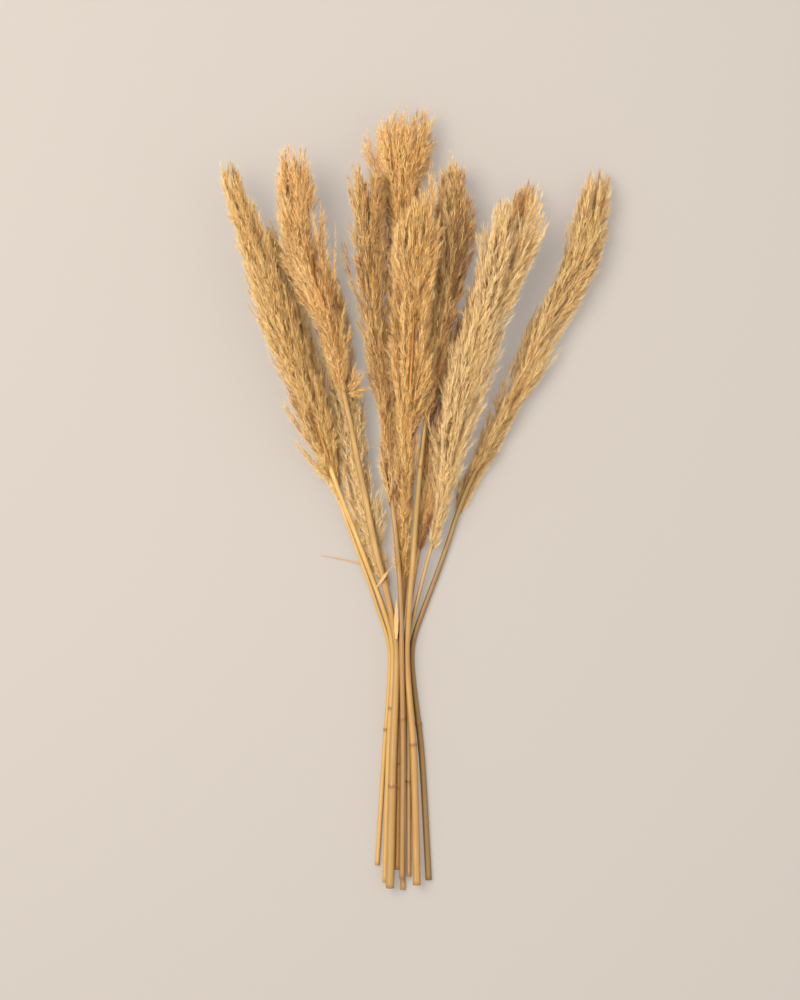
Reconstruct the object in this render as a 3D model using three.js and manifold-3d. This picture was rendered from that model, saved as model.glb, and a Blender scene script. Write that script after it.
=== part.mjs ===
// A bundle of eleven dried pampas grass stems with their plumes, lying on a flat surface.
// Millimetres, +Z up. The stems run along Y: cut ends at -Y, plume tips at +Y. The surface is z = 0
// and the origin is below the middle of the bundle.
import * as THREE from 'three';
import { mergeVertices } from 'three/addons/utils/BufferGeometryUtils.js';
import Module from 'manifold-3d';

const wasm = await Module();
wasm.setup();

// ---------------------------------------------------------------- driving dimensions, in mm

// The place on the surface where all the stems gather. Every path below is measured from it.
const GATHER_POINT = new THREE.Vector3(-11.6, -151.7, 0);

const PLUME_FLATNESS = 0.85; // half height of a plume over its half width, pressed by lying
const CORE_SHARE = 0.62; // the dense heart of a plume, as a share of its half width
const CORE_SIDES = 6;
const CORE_STEP = 30; // between two rings of a core
const CORE_TIP_SHARE = 0.3;
const CORE_SHORT = 14; // how far the core ends below the tip

const TUFT_SPACING = 8.4; // along the plume, between the roots of two tufts
const TUFT_TURN = 2.39996; // each tuft stands this angle further round than the last
const TUFT_TURN_PLAY = 0.5;
const TUFT_LENGTH = 58;
const TUFT_TIP_LENGTH = 34; // near the tip of a plume
const TUFT_RADIUS = 4.0;
const TUFT_TIP_RADIUS = 2.6;
const TIP_CROWDING = 1.3; // above 1, the tufts stand closer toward the tip
const TUFT_ROOT_SHARE = 0.3; // its root is sunk to this share of the plume's half width
const TUFT_ROOT_RADIUS = 0.7; // radius at its root over its greatest radius
const TUFT_FLATNESS = 0.8;
const TUFT_WAIST = 0.42; // where it is thickest, as a share of its length
const TUFT_BOW = 0.05; // how far it bows outward, as a share of its length
const TUFT_REACH = [0.88, 1.12]; // where its tip ends, as a share of the plume's half width
const SHORTEST_TUFT = 0.42; // a tuft with less room than this share of its length is left out
const SHORTEN_BY = 0.86;
const FULL_TUFT_WIDTH = 14; // tufts are slimmer where the plume's half width is under this
const FIRST_TUFT = 4; // from the foot of the plume to the root of its first tuft
const LAST_TUFT = 16; // from the root of its last tuft to the tip

const STEM_SIDES = 6;
const STEM_STEP = 30; // between two rings of a stem
const STEM_TAPER = 0.8; // its radius at the plume over its radius at the cut end
const JOINT_SWELL = 1.2; // radius of a joint's ring over the stem's radius
const JOINT_RINGS = [[-5, 1], [-1.5, JOINT_SWELL], [1.5, JOINT_SWELL], [5, 1]]; // [along, swell]

const JOIN_GAP = 0.3; // between a stem and the plume that it carries
const ROOM_MARGIN = 0.10; // kept between two plumes, as a share of their half width
const STEM_CLEARANCE = 2.2; // kept between a tuft and another stem
const SURFACE_DIP = 1.6; // how far an underside may sag before it is pressed flat
const BELOW_SURFACE = [900, 1600, 40]; // the block that presses it
const SEED = 20;

// Each plant's path: [x, y, z] from the cut end to the tip of the plume. It is measured from the
// gather point. plumeFrom is the y where its plume starts, widths are [y, half width] of the plume,
// and joints are the y of the rings on its stem. The stem's radius is at its cut end.
const PLANTS = [
    {
        name: '01', stemColour: 'straw', plumeColour: 'gold', radius: 3.0, joints: [-62],
        path: [
            [-17, -238, 6.2], [-13.5, -110, 7], [-8.5, 0, 7], [-13, 20, 8.4], [-19, 40, 9.2],
            [-26.2, 60, 10.8], [-34.2, 80, 12.8], [-41.5, 100, 15], [-49, 120, 18], [-57, 140, 21.5],
            [-67, 166, 27], [-77, 198, 34], [-94, 248, 45], [-117, 308, 54], [-140, 373, 55],
            [-161, 440, 51], [-174, 482, 46],
        ],
        plumeFrom: 150,
        widths: [
            [150, 6], [175, 13], [190, 17], [205, 19], [240, 19], [262, 19.5], [310, 20.5], [360, 19],
            [400, 17], [430, 16], [460, 13], [482, 9],
        ],
    },
    {
        name: '02', stemColour: 'straw', plumeColour: 'tan', radius: 2.5, joints: [-84],
        path: [
            [-25, -221, 2], [-18, -110, 2], [-11.7, 0, 2.2], [-18.2, 20, 3], [-25, 40, 4],
            [-32, 60, 5.5], [-40, 80, 7.3], [-47.5, 100, 7.6], [-55, 120, 7.8], [-62, 140, 8.4],
            [-70, 178, 11], [-83, 238, 14], [-99, 298, 16.5], [-115, 358, 17], [-128, 408, 16.5],
            [-132, 430, 16],
        ],
        plumeFrom: 146,
        widths: [
            [146, 6], [178, 13], [210, 18], [250, 19], [300, 20], [350, 18], [390, 11], [430, 5],
        ],
    },
    {
        name: '03', stemColour: 'straw', plumeColour: 'amber', radius: 4.2, joints: [69, -140],
        path: [
            [-12, -243, 13], [-9, -110, 14], [-5, 0, 14.1], [-8, 20, 15.4], [-12, 40, 17],
            [-16.3, 60, 18.3], [-22, 80, 19.8], [-27.2, 100, 21.6], [-30.8, 120, 23.6],
            [-34.5, 135, 25.2], [-39, 161, 29], [-46, 191, 34], [-51, 223, 39], [-57, 248, 43],
            [-61, 268, 46], [-72, 320, 53], [-92, 376, 57], [-99.5, 400, 57], [-106, 430, 56],
            [-108, 460, 54.5], [-110, 495, 52],
        ],
        plumeFrom: 252,
        widths: [
            [252, 6], [280, 12], [300, 14], [320, 19.5], [340, 23.5], [373, 27], [400, 24], [425, 21],
            [460, 20], [480, 19], [495, 14],
        ],
    },
    {
        name: '04', stemColour: 'straw', plumeColour: 'brown', radius: 2.4, joints: [-104],
        path: [
            [-12, -229, 1.9], [-9, -110, 1.9], [-7.1, 0, 2], [-9, 20, 2.3], [-11.5, 40, 2.9],
            [-16.5, 60, 4.2], [-22, 80, 6.2], [-27.5, 98, 8], [-36, 138, 12], [-44, 168, 13.5],
            [-51, 204, 15], [-57, 242, 15.5], [-61, 278, 15.5], [-67, 348, 15.5], [-74, 392, 15],
        ],
        plumeFrom: 60,
        widths: [
            [60, 3], [75, 8], [90, 11], [105, 13], [120, 14], [140, 15], [160, 14], [180, 15.5],
            [220, 17], [260, 17], [330, 17], [392, 6],
        ],
    },
    {
        name: '05', stemColour: 'straw', plumeColour: 'brown', radius: 2.9, joints: [-72],
        path: [
            [0, -234, 11.6], [1, -110, 12.6], [-0.4, 0, 19], [-0.6, 20, 19.3], [-0.9, 40, 19.7],
            [-1.9, 60, 20.6], [-3.4, 80, 22.6], [-5, 100, 25], [-6.8, 120, 27.2], [-9, 134, 28.2],
            [-13, 198, 32], [-19, 258, 36], [-27, 328, 40], [-33, 398, 43], [-36, 478, 43],
        ],
        plumeFrom: 150,
        widths: [
            [150, 5], [170, 8], [190, 9], [220, 9], [258, 10], [290, 13], [330, 15.5], [380, 16],
            [420, 16.5], [450, 18], [465, 16], [478, 11],
        ],
    },
    {
        name: '06', stemColour: 'straw', plumeColour: 'tan', radius: 2.7, joints: [-150],
        path: [
            [1, -246, 2.15], [0.5, -110, 2.15], [-2.5, 0, 2.4], [-0.5, 20, 2.6], [1, 40, 2.9],
            [3, 60, 3.4], [6.5, 88, 5], [3.5, 150, 9], [2, 210, 12], [1, 300, 17], [0, 400, 18.5],
            [-1, 450, 20], [0, 490, 22.5], [3, 512, 23.5], [8, 534, 24],
        ],
        plumeFrom: 130,
        widths: [
            [130, 4], [170, 8], [230, 13], [300, 19], [400, 21], [440, 21], [460, 24], [480, 28],
            [500, 31], [518, 28], [534, 20],
        ],
    },
    {
        name: '07', stemColour: 'straw', plumeColour: 'gold', radius: 3.0, joints: [-118],
        path: [
            [-5, -225, 6.4], [-3.5, -110, 7], [-2.9, 0, 7.8], [-1.2, 20, 8.6], [0, 40, 9.8],
            [1, 60, 11], [2, 108, 17], [5, 158, 27], [8, 228, 43], [10, 298, 57], [13, 368, 61],
            [16, 440, 61],
        ],
        plumeFrom: 66,
        widths: [
            [66, 4], [108, 8], [158, 13], [210, 17], [280, 22], [350, 24], [400, 22], [425, 17],
            [440, 10],
        ],
    },
    {
        name: '08', stemColour: 'olive', plumeColour: 'brown', radius: 4.0, joints: [182, -98],
        path: [
            [15, -240, 12.8], [12, -110, 13.8], [4.5, 0, 13.9], [6.2, 20, 15.4], [7.4, 40, 17.4],
            [8.6, 60, 19.4], [10.6, 80, 21.4], [12.2, 100, 23.6], [13.6, 120, 25.7], [17, 148, 29.5],
            [21, 182, 33], [25, 227, 34], [30, 268, 33], [37, 308, 30], [45, 358, 27], [53, 420, 26],
            [51, 490, 26],
        ],
        plumeFrom: 230,
        widths: [
            [230, 5], [265, 11], [300, 13], [340, 15], [360, 16], [380, 18], [400, 20], [420, 22],
            [440, 19], [460, 16], [490, 10],
        ],
    },
    {
        name: '09', stemColour: 'straw', plumeColour: 'gold', radius: 2.5, joints: [-136],
        path: [
            [7, -232, 6.2], [6.6, -110, 7.2], [4.5, 0, 7.5], [9.5, 20, 8.7], [13.8, 40, 9.4],
            [18.2, 60, 10], [22.6, 78, 11], [28, 100, 13.5], [33, 140, 23], [37, 160, 28],
            [42, 180, 32.5], [46, 200, 36.5], [52, 220, 40], [58, 240, 43.5], [62, 260, 46],
            [68, 285, 49], [76, 310, 52.5], [84, 335, 55], [94, 362, 57], [103, 388, 58],
            [111, 415, 57], [116, 446, 56],
        ],
        plumeFrom: 96,
        widths: [
            [96, 4], [120, 8], [140, 11], [160, 14], [180, 16], [200, 16], [220, 17], [240, 18],
            [260, 18], [280, 19], [300, 22], [340, 24], [360, 26], [388, 27], [420, 30], [446, 26],
        ],
    },
    {
        name: '10', stemColour: 'olive', plumeColour: 'gold', radius: 3.3, joints: [92, -78],
        path: [
            [27, -236, 2.65], [20, -110, 2.65], [9.2, 0, 2.9], [15.6, 20, 2.9], [22.8, 40, 2.9],
            [30, 60, 3], [37.5, 80, 3.2], [44.4, 100, 3.8], [51, 120, 4.8], [59, 143, 6.2],
            [68, 163, 7.6], [81, 193, 10], [102, 237, 14], [117, 262, 15.5], [137, 303, 17.5],
            [150, 330, 18.2], [165, 360, 18.5], [175, 380, 18.5], [182, 402, 18.5], [192, 440, 18.5],
            [197, 473, 18],
        ],
        plumeFrom: 138,
        widths: [
            [138, 4.5], [160, 7.5], [180, 8.5], [200, 13], [220, 12], [240, 12], [260, 15], [280, 18.5],
            [300, 19], [320, 17], [360, 17], [380, 19], [400, 20], [420, 18.5], [440, 18.5], [460, 15],
            [473, 11],
        ],
    },
    {
        name: '11', stemColour: 'straw', plumeColour: 'brown', radius: 2.9, joints: [-124],
        path: [
            [14, -218, 2.3], [10, -110, 2.3], [3.4, 0, 2.5], [5.6, 20, 2.6], [8.6, 40, 2.9],
            [11.8, 60, 3.9], [15.5, 82, 5.6], [19, 100, 6.6], [25, 130, 8], [30, 165, 9.5],
            [37, 205, 11.5], [49, 260, 13.5], [66, 315, 15.5], [88, 365, 17], [105, 410, 18],
            [118, 466, 18],
        ],
        plumeFrom: 92,
        widths: [
            [92, 3], [128, 9], [160, 12], [208, 15], [260, 16], [330, 17], [400, 17], [440, 13],
            [466, 8],
        ],
    },
];

// Dry leaf pieces: a path for the middle of each strip, its greatest width, and how it twists.
const LEAF_THICKNESS = 1.2;
const LEAF_STEPS = 7;
const LEAVES = [
    {
        name: 'leaf_sheath', width: 4.6, twist: [0.5, 0.2],
        path: [[-5.4, 8, 20.8], [-5.4, 28, 21.6], [-5.6, 49, 22.8]],
    },
    {
        name: 'leaf_blade', width: 2.8, twist: [0.9, 0.1],
        path: [
            [-22, 70, 14.6], [-25, 75, 11.6], [-31, 80, 6.2], [-40, 83, 2.7], [-56, 87, 1.5],
            [-82, 92, 1.4],
        ],
    },
    {
        name: 'leaf_curl', width: 3.6, twist: [-0.5, 1.1],
        path: [
            [-26, 60, 20.5], [-21.5, 66, 24.2], [-16.5, 73, 26.2], [-10, 80.5, 28], [-3, 88, 29.4],
        ],
    },
];

const COLOURS = {
    straw: 0xd6a45e,
    olive: 0xa8935a,
    gold: 0xd9ad72,
    amber: 0xd39a55,
    tan: 0xcb9a5f,
    brown: 0xb78a58,
    leaf: 0xe6cfa6,
};

// ---------------------------------------------------------------- helpers

let randomState = SEED;

/** A seeded draw between low and high. */
function draw(low, high) {
    randomState = (randomState * 1664525 + 1013904223) % 4294967296;
    return low + ((high - low) * randomState) / 4294967296;
}

/** Slope of a smooth curve at point i of its [place, value] pairs, level where it turns. */
function slopeAt(pairs, i) {
    const before = pairs[Math.max(i - 1, 0)];
    const here = pairs[i];
    const after = pairs[Math.min(i + 1, pairs.length - 1)];
    const rise = (from, to) => (to[1] - from[1]) / (to[0] - from[0]);
    if (i === 0) return rise(here, after);
    if (i === pairs.length - 1) return rise(before, here);
    const first = rise(before, here);
    const second = rise(here, after);
    return first * second <= 0 ? 0 : (2 * first * second) / (first + second);
}

/** Value at a place on the smooth curve through [place, value] pairs. */
function valueAt(pairs, place) {
    const last = pairs.length - 1;
    if (place <= pairs[0][0]) return pairs[0][1] + (place - pairs[0][0]) * slopeAt(pairs, 0);
    if (place >= pairs[last][0]) return pairs[last][1] + (place - pairs[last][0]) * slopeAt(pairs, last);
    let i = 0;
    while (place > pairs[i + 1][0]) i += 1;
    const span = pairs[i + 1][0] - pairs[i][0];
    const t = (place - pairs[i][0]) / span;
    const bend = t * t * (3 - 2 * t);
    const leave = t * (1 - t) * (1 - t) * span * slopeAt(pairs, i);
    const arrive = t * t * (t - 1) * span * slopeAt(pairs, i + 1);
    return pairs[i][1] * (1 - bend) + pairs[i + 1][1] * bend + leave + arrive;
}

/** Point on a plant's axis at y, and the directions to its side, along it and up. */
function axisAt(plant, y) {
    const point = new THREE.Vector3(valueAt(plant.across, y), y, valueAt(plant.height, y));
    const ahead = new THREE.Vector3(valueAt(plant.across, y + 1), y + 1, valueAt(plant.height, y + 1));
    const along = ahead.sub(point).normalize();
    const side = along.clone().cross(new THREE.Vector3(0, 0, 1)).normalize();
    return { point, along, side, up: side.clone().cross(along) };
}

/** Radius of a plant's stem at y, without its joints. */
function stemRadius(plant, y) {
    const start = plant.path[0][1];
    const share = THREE.MathUtils.clamp((y - start) / (plant.plumeFrom - start), 0, 1);
    return plant.radius * (1 + (STEM_TAPER - 1) * share);
}

/** Moves every point of a unit column to place(step, x, z), where step counts its rings. */
function bent(column, steps, place) {
    const corners = column.getAttribute('position');
    for (let i = 0; i < corners.count; i += 1) {
        const step = Math.round((corners.getY(i) + 0.5) * steps);
        const point = place(step, corners.getX(i), corners.getZ(i));
        corners.setXYZ(i, point.x, point.y, point.z);
    }
    column.deleteAttribute('normal');
    column.deleteAttribute('uv');
    return mergeVertices(column, 1e-5);
}

/** A column of rings of the given radii round the frames, flat side down. */
function columnAlong(frames, radii, flatness, sides) {
    const steps = frames.length - 1;
    const column = new THREE.CylinderGeometry(1, 1, 1, sides, steps, false, Math.PI / sides);
    return bent(column, steps, (step, x, z) => frames[step].point.clone()
        .addScaledVector(frames[step].side, x * radii[step])
        .addScaledVector(frames[step].up, z * radii[step] * flatness));
}

/** Even stations from start to end, about a step apart. */
function stations(start, end, step) {
    const count = Math.max(1, Math.round((end - start) / step));
    return Array.from({ length: count + 1 }, (_, i) => start + ((end - start) * i) / count);
}

function solidOf(geometry) {
    const vertProperties = Float32Array.from(geometry.getAttribute('position').array);
    const triVerts = Uint32Array.from(geometry.getIndex().array);
    return new wasm.Manifold(new wasm.Mesh({ numProp: 3, vertProperties, triVerts }));
}

function geometryOf(solid) {
    const { vertProperties, triVerts } = solid.getMesh();
    const geometry = new THREE.BufferGeometry();
    geometry.setAttribute('position', new THREE.BufferAttribute(vertProperties, 3));
    geometry.setIndex(new THREE.BufferAttribute(triVerts, 1));
    return geometry;
}

/** The largest body of a solid, without loose scraps. */
function mainBody(solid) {
    return solid.decompose().reduce((kept, body) => (body.volume() > kept.volume() ? body : kept));
}

/** A solid's main body, pressed flat where it would reach below the surface. */
function laidDown(solid) {
    if (solid.boundingBox().min[2] >= 0) return mainBody(solid);
    const below = new THREE.BoxGeometry(...BELOW_SURFACE);
    below.translate(0, 0, -BELOW_SURFACE[2] / 2);
    below.deleteAttribute('normal');
    below.deleteAttribute('uv');
    return mainBody(solid.subtract(solidOf(mergeVertices(below))));
}

// ---------------------------------------------------------------- stems

/** A stem from its cut end to its plume, with a swollen ring at each joint. */
function stemGeometry(plant) {
    const start = plant.path[0][1];
    const rings = stations(start, plant.plumeFrom, STEM_STEP)
        .filter((y) => plant.joints.every((joint) => Math.abs(y - joint) > STEM_STEP / 3))
        .map((y) => ({ y, swell: 1 }));
    for (const joint of plant.joints) {
        JOINT_RINGS.forEach(([offset, swell]) => rings.push({ y: joint + offset, swell }));
    }
    rings.sort((a, b) => a.y - b.y);
    const frames = rings.map(({ y }) => axisAt(plant, y));
    const radii = rings.map(({ y, swell }) => stemRadius(plant, y) * swell);
    return geometryOf(laidDown(solidOf(columnAlong(frames, radii, 1, STEM_SIDES))));
}

// ---------------------------------------------------------------- plumes

/** Distance of a point from a plume's axis, as a share of the plume's half width there. */
function shareOf(plant, point) {
    const { point: middle, along } = axisAt(plant, point.y);
    const halfWidth = valueAt(plant.widths, Math.min(point.y, plant.tipY));
    const across = ((point.x - middle.x) * along.y) / halfWidth;
    return Math.hypot(across, (point.z - middle.z) / (halfWidth * PLUME_FLATNESS));
}

/** Whether a point of one plume keeps clear of every other plant. */
function hasRoom(plant, point) {
    if (point.z < -SURFACE_DIP) return false;
    const own = shareOf(plant, point);
    return PLANTS.every((other) => {
        if (other === plant || point.y < other.path[0][1] || point.y > other.tipY) return true;
        if (point.y > other.plumeFrom) return own < shareOf(other, point) - ROOM_MARGIN;
        const { point: middle } = axisAt(other, point.y);
        const distance = Math.hypot(point.x - middle.x, point.z - middle.z);
        return distance > stemRadius(other, point.y) * JOINT_SWELL + STEM_CLEARANCE;
    });
}

/** The middle line of a tuft: root, waist and tip, or null where there is no room for it. */
function tuftLine(plant, rootY, turn, length) {
    const root = axisAt(plant, rootY);
    const outward = (frame, distance) => frame.point.clone()
        .addScaledVector(frame.side, Math.cos(turn) * distance)
        .addScaledVector(frame.up, Math.sin(turn) * distance * PLUME_FLATNESS);
    const rootPoint = outward(root, valueAt(plant.widths, rootY) * TUFT_ROOT_SHARE);
    const reach = draw(...TUFT_REACH);
    for (let share = 1; share > SHORTEST_TUFT; share *= SHORTEN_BY) {
        const tipY = rootY + length * share * root.along.y;
        const halfWidth = valueAt(plant.widths, Math.min(tipY, plant.tipY));
        const tip = outward(axisAt(plant, tipY), halfWidth * reach * share);
        tip.z = Math.max(tip.z, -SURFACE_DIP / 2);
        const waist = rootPoint.clone().lerp(tip, TUFT_WAIST)
            .addScaledVector(outward(root, 1).sub(root.point), length * share * TUFT_BOW);
        if (hasRoom(plant, tip) && hasRoom(plant, waist)) return [rootPoint, waist, tip];
    }
    return null;
}

/** One tapered tuft: a three-sided column from a sunk root to a sharp tip. */
function tuftGeometry([root, waist, tip], radius, spin) {
    const along = tip.clone().sub(root).normalize();
    const side = along.clone().cross(new THREE.Vector3(0, 0, 1)).normalize();
    const up = side.clone().cross(along);
    const middles = [root, waist, tip];
    const radii = [radius * TUFT_ROOT_RADIUS, radius, 0];
    const column = new THREE.CylinderGeometry(1, 1, 1, 3, 2, false, spin);
    return bent(column, 2, (step, x, z) => middles[step].clone()
        .addScaledVector(side, x * radii[step])
        .addScaledVector(up, z * radii[step] * TUFT_FLATNESS));
}

/** A plume: a slim dense heart that tapers to the tip, with tufts standing out all round it. */
function plumeGeometry(plant) {
    const start = plant.plumeFrom + JOIN_GAP;
    const levels = stations(start, plant.tipY - CORE_SHORT, CORE_STEP);
    const frames = levels.map((y) => axisAt(plant, y));
    const radii = levels.map((y, i) => {
        const share = i === levels.length - 1 ? CORE_TIP_SHARE : CORE_SHARE;
        return Math.max(valueAt(plant.widths, y) * share, stemRadius(plant, start));
    });
    const pieces = [solidOf(columnAlong(frames, radii, PLUME_FLATNESS, CORE_SIDES))];
    const length = plant.tipY - start;
    const count = Math.round(length / TUFT_SPACING);
    for (let i = 0; i < count; i += 1) {
        const share = (i + 0.5) / count;
        const taper = (from, to) => from + (to - from) * share ** 2;
        const rootY = start + FIRST_TUFT
            + (length - FIRST_TUFT - LAST_TUFT) * (1 - (1 - share) ** TIP_CROWDING);
        const turn = i * TUFT_TURN + draw(-TUFT_TURN_PLAY, TUFT_TURN_PLAY);
        const tuftLength = taper(TUFT_LENGTH, TUFT_TIP_LENGTH) * draw(0.8, 1.15);
        const spin = draw(0, Math.PI);
        const line = tuftLine(plant, rootY, turn, tuftLength);
        const slim = Math.min(1, valueAt(plant.widths, rootY) / FULL_TUFT_WIDTH);
        const radius = taper(TUFT_RADIUS, TUFT_TIP_RADIUS) * (1 + slim) / 2;
        if (line) pieces.push(solidOf(tuftGeometry(line, radius, spin)));
    }
    return geometryOf(laidDown(wasm.Manifold.union(pieces)));
}

// ---------------------------------------------------------------- dry leaf pieces

/** A strip of dry leaf: widest in the middle, pointed at its ends and twisted along its path. */
function leafGeometry(leaf) {
    const curve = new THREE.CatmullRomCurve3(leaf.path.map((point) => new THREE.Vector3(...point)));
    const column = new THREE.CylinderGeometry(1, 1, 1, 4, LEAF_STEPS, false, 0);
    return bent(column, LEAF_STEPS, (step, x, z) => {
        const t = step / LEAF_STEPS;
        const along = curve.getTangent(t);
        const side = along.clone().cross(new THREE.Vector3(0, 0, 1)).normalize();
        const up = side.clone().cross(along);
        const roll = THREE.MathUtils.lerp(leaf.twist[0], leaf.twist[1], t);
        const across = side.clone().applyAxisAngle(along, roll);
        const thick = up.clone().applyAxisAngle(along, roll);
        const swell = 0.25 + 0.75 * Math.sin(Math.PI * THREE.MathUtils.clamp(t, 0.02, 0.98));
        return curve.getPoint(t)
            .addScaledVector(across, (x * leaf.width * swell) / 2)
            .addScaledVector(thick, (z * LEAF_THICKNESS) / 2);
    });
}

// ---------------------------------------------------------------- the bundle

function addPiece(group, name, geometry, colour) {
    const material = new THREE.MeshStandardMaterial({ color: COLOURS[colour], roughness: 0.8 });
    const mesh = new THREE.Mesh(geometry, material);
    mesh.name = name;
    group.add(mesh);
}

const bundle = new THREE.Group();
bundle.position.copy(GATHER_POINT);
for (const plant of PLANTS) {
    plant.across = plant.path.map(([x, y]) => [y, x]);
    plant.height = plant.path.map(([, y, z]) => [y, z]);
    plant.tipY = plant.path[plant.path.length - 1][1];
}
for (const plant of PLANTS) {
    addPiece(bundle, `stem_${plant.name}`, stemGeometry(plant), plant.stemColour);
    addPiece(bundle, `plume_${plant.name}`, plumeGeometry(plant), plant.plumeColour);
}
for (const leaf of LEAVES) {
    addPiece(bundle, leaf.name, leafGeometry(leaf), 'leaf');
}

export default bundle;
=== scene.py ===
import bpy
import numpy as np
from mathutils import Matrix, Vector


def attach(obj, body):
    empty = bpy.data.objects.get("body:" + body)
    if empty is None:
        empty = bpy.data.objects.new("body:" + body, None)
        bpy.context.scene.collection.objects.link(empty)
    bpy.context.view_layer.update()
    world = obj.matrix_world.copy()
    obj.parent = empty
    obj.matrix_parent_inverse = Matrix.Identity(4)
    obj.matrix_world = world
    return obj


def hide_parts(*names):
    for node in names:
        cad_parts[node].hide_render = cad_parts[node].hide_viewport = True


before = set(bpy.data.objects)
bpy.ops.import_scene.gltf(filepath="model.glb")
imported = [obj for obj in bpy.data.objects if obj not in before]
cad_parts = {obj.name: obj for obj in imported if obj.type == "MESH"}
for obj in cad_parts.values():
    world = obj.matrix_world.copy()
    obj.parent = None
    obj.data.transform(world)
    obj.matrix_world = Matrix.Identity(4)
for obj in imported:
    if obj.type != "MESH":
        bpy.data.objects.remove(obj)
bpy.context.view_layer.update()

# -------- the bundle's layout, in mm

MM = 0.001
# The place on the surface where all the stems gather. Every place below is measured from it.
GATHER_POINT = np.array([-11.6, -151.7, 0.0])
NOWHERE = 999.0  # a y past every tip

# A plant is a stem and its plume, lying along y:
#   path           [x, y, z] from the stem's cut end to the plume's tip
#   radius, taper  the stem's radius at its cut end, and the share of it lost by the plume's foot
#   joints         the y of the stem's joints
#   culm, green    the stem's colour, and the y above which it turns olive
#   widths         [y, half width] of the plume, from its foot to its tip
#   bare_to        the y up to which the stem shows on top of the plume's foot
#   colour, tone   the plume's middle colour, and how far it is shifted from brown (-) to pale (+)
#   painted_right_shade  painted shade that makes the plume's right side browner (below 0, painted light
#   that makes it paler)
#   slits          how deep the brown slits between its strands are
#   sleek          how long and straight its strands are, from 0 to 1
#   side_tufts     [x, y] tips of single tufts that stand out of the plume
#   side_branches  [x, y, x, y] lines of longer branches that stand out of it
#   painted_shade_streaks  [x, y, x, y] lines along which its strands are painted browner, as painted shade
#   of the gaps between them
#   painted_light_streaks  [x, y, x, y] lines along which its strands are painted paler, as painted light in
#   their shadowed parts
DEFAULTS = dict(taper=0.2, slits=1.0, sleek=0.0, side_branches=[], painted_light_streaks=[])
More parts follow.
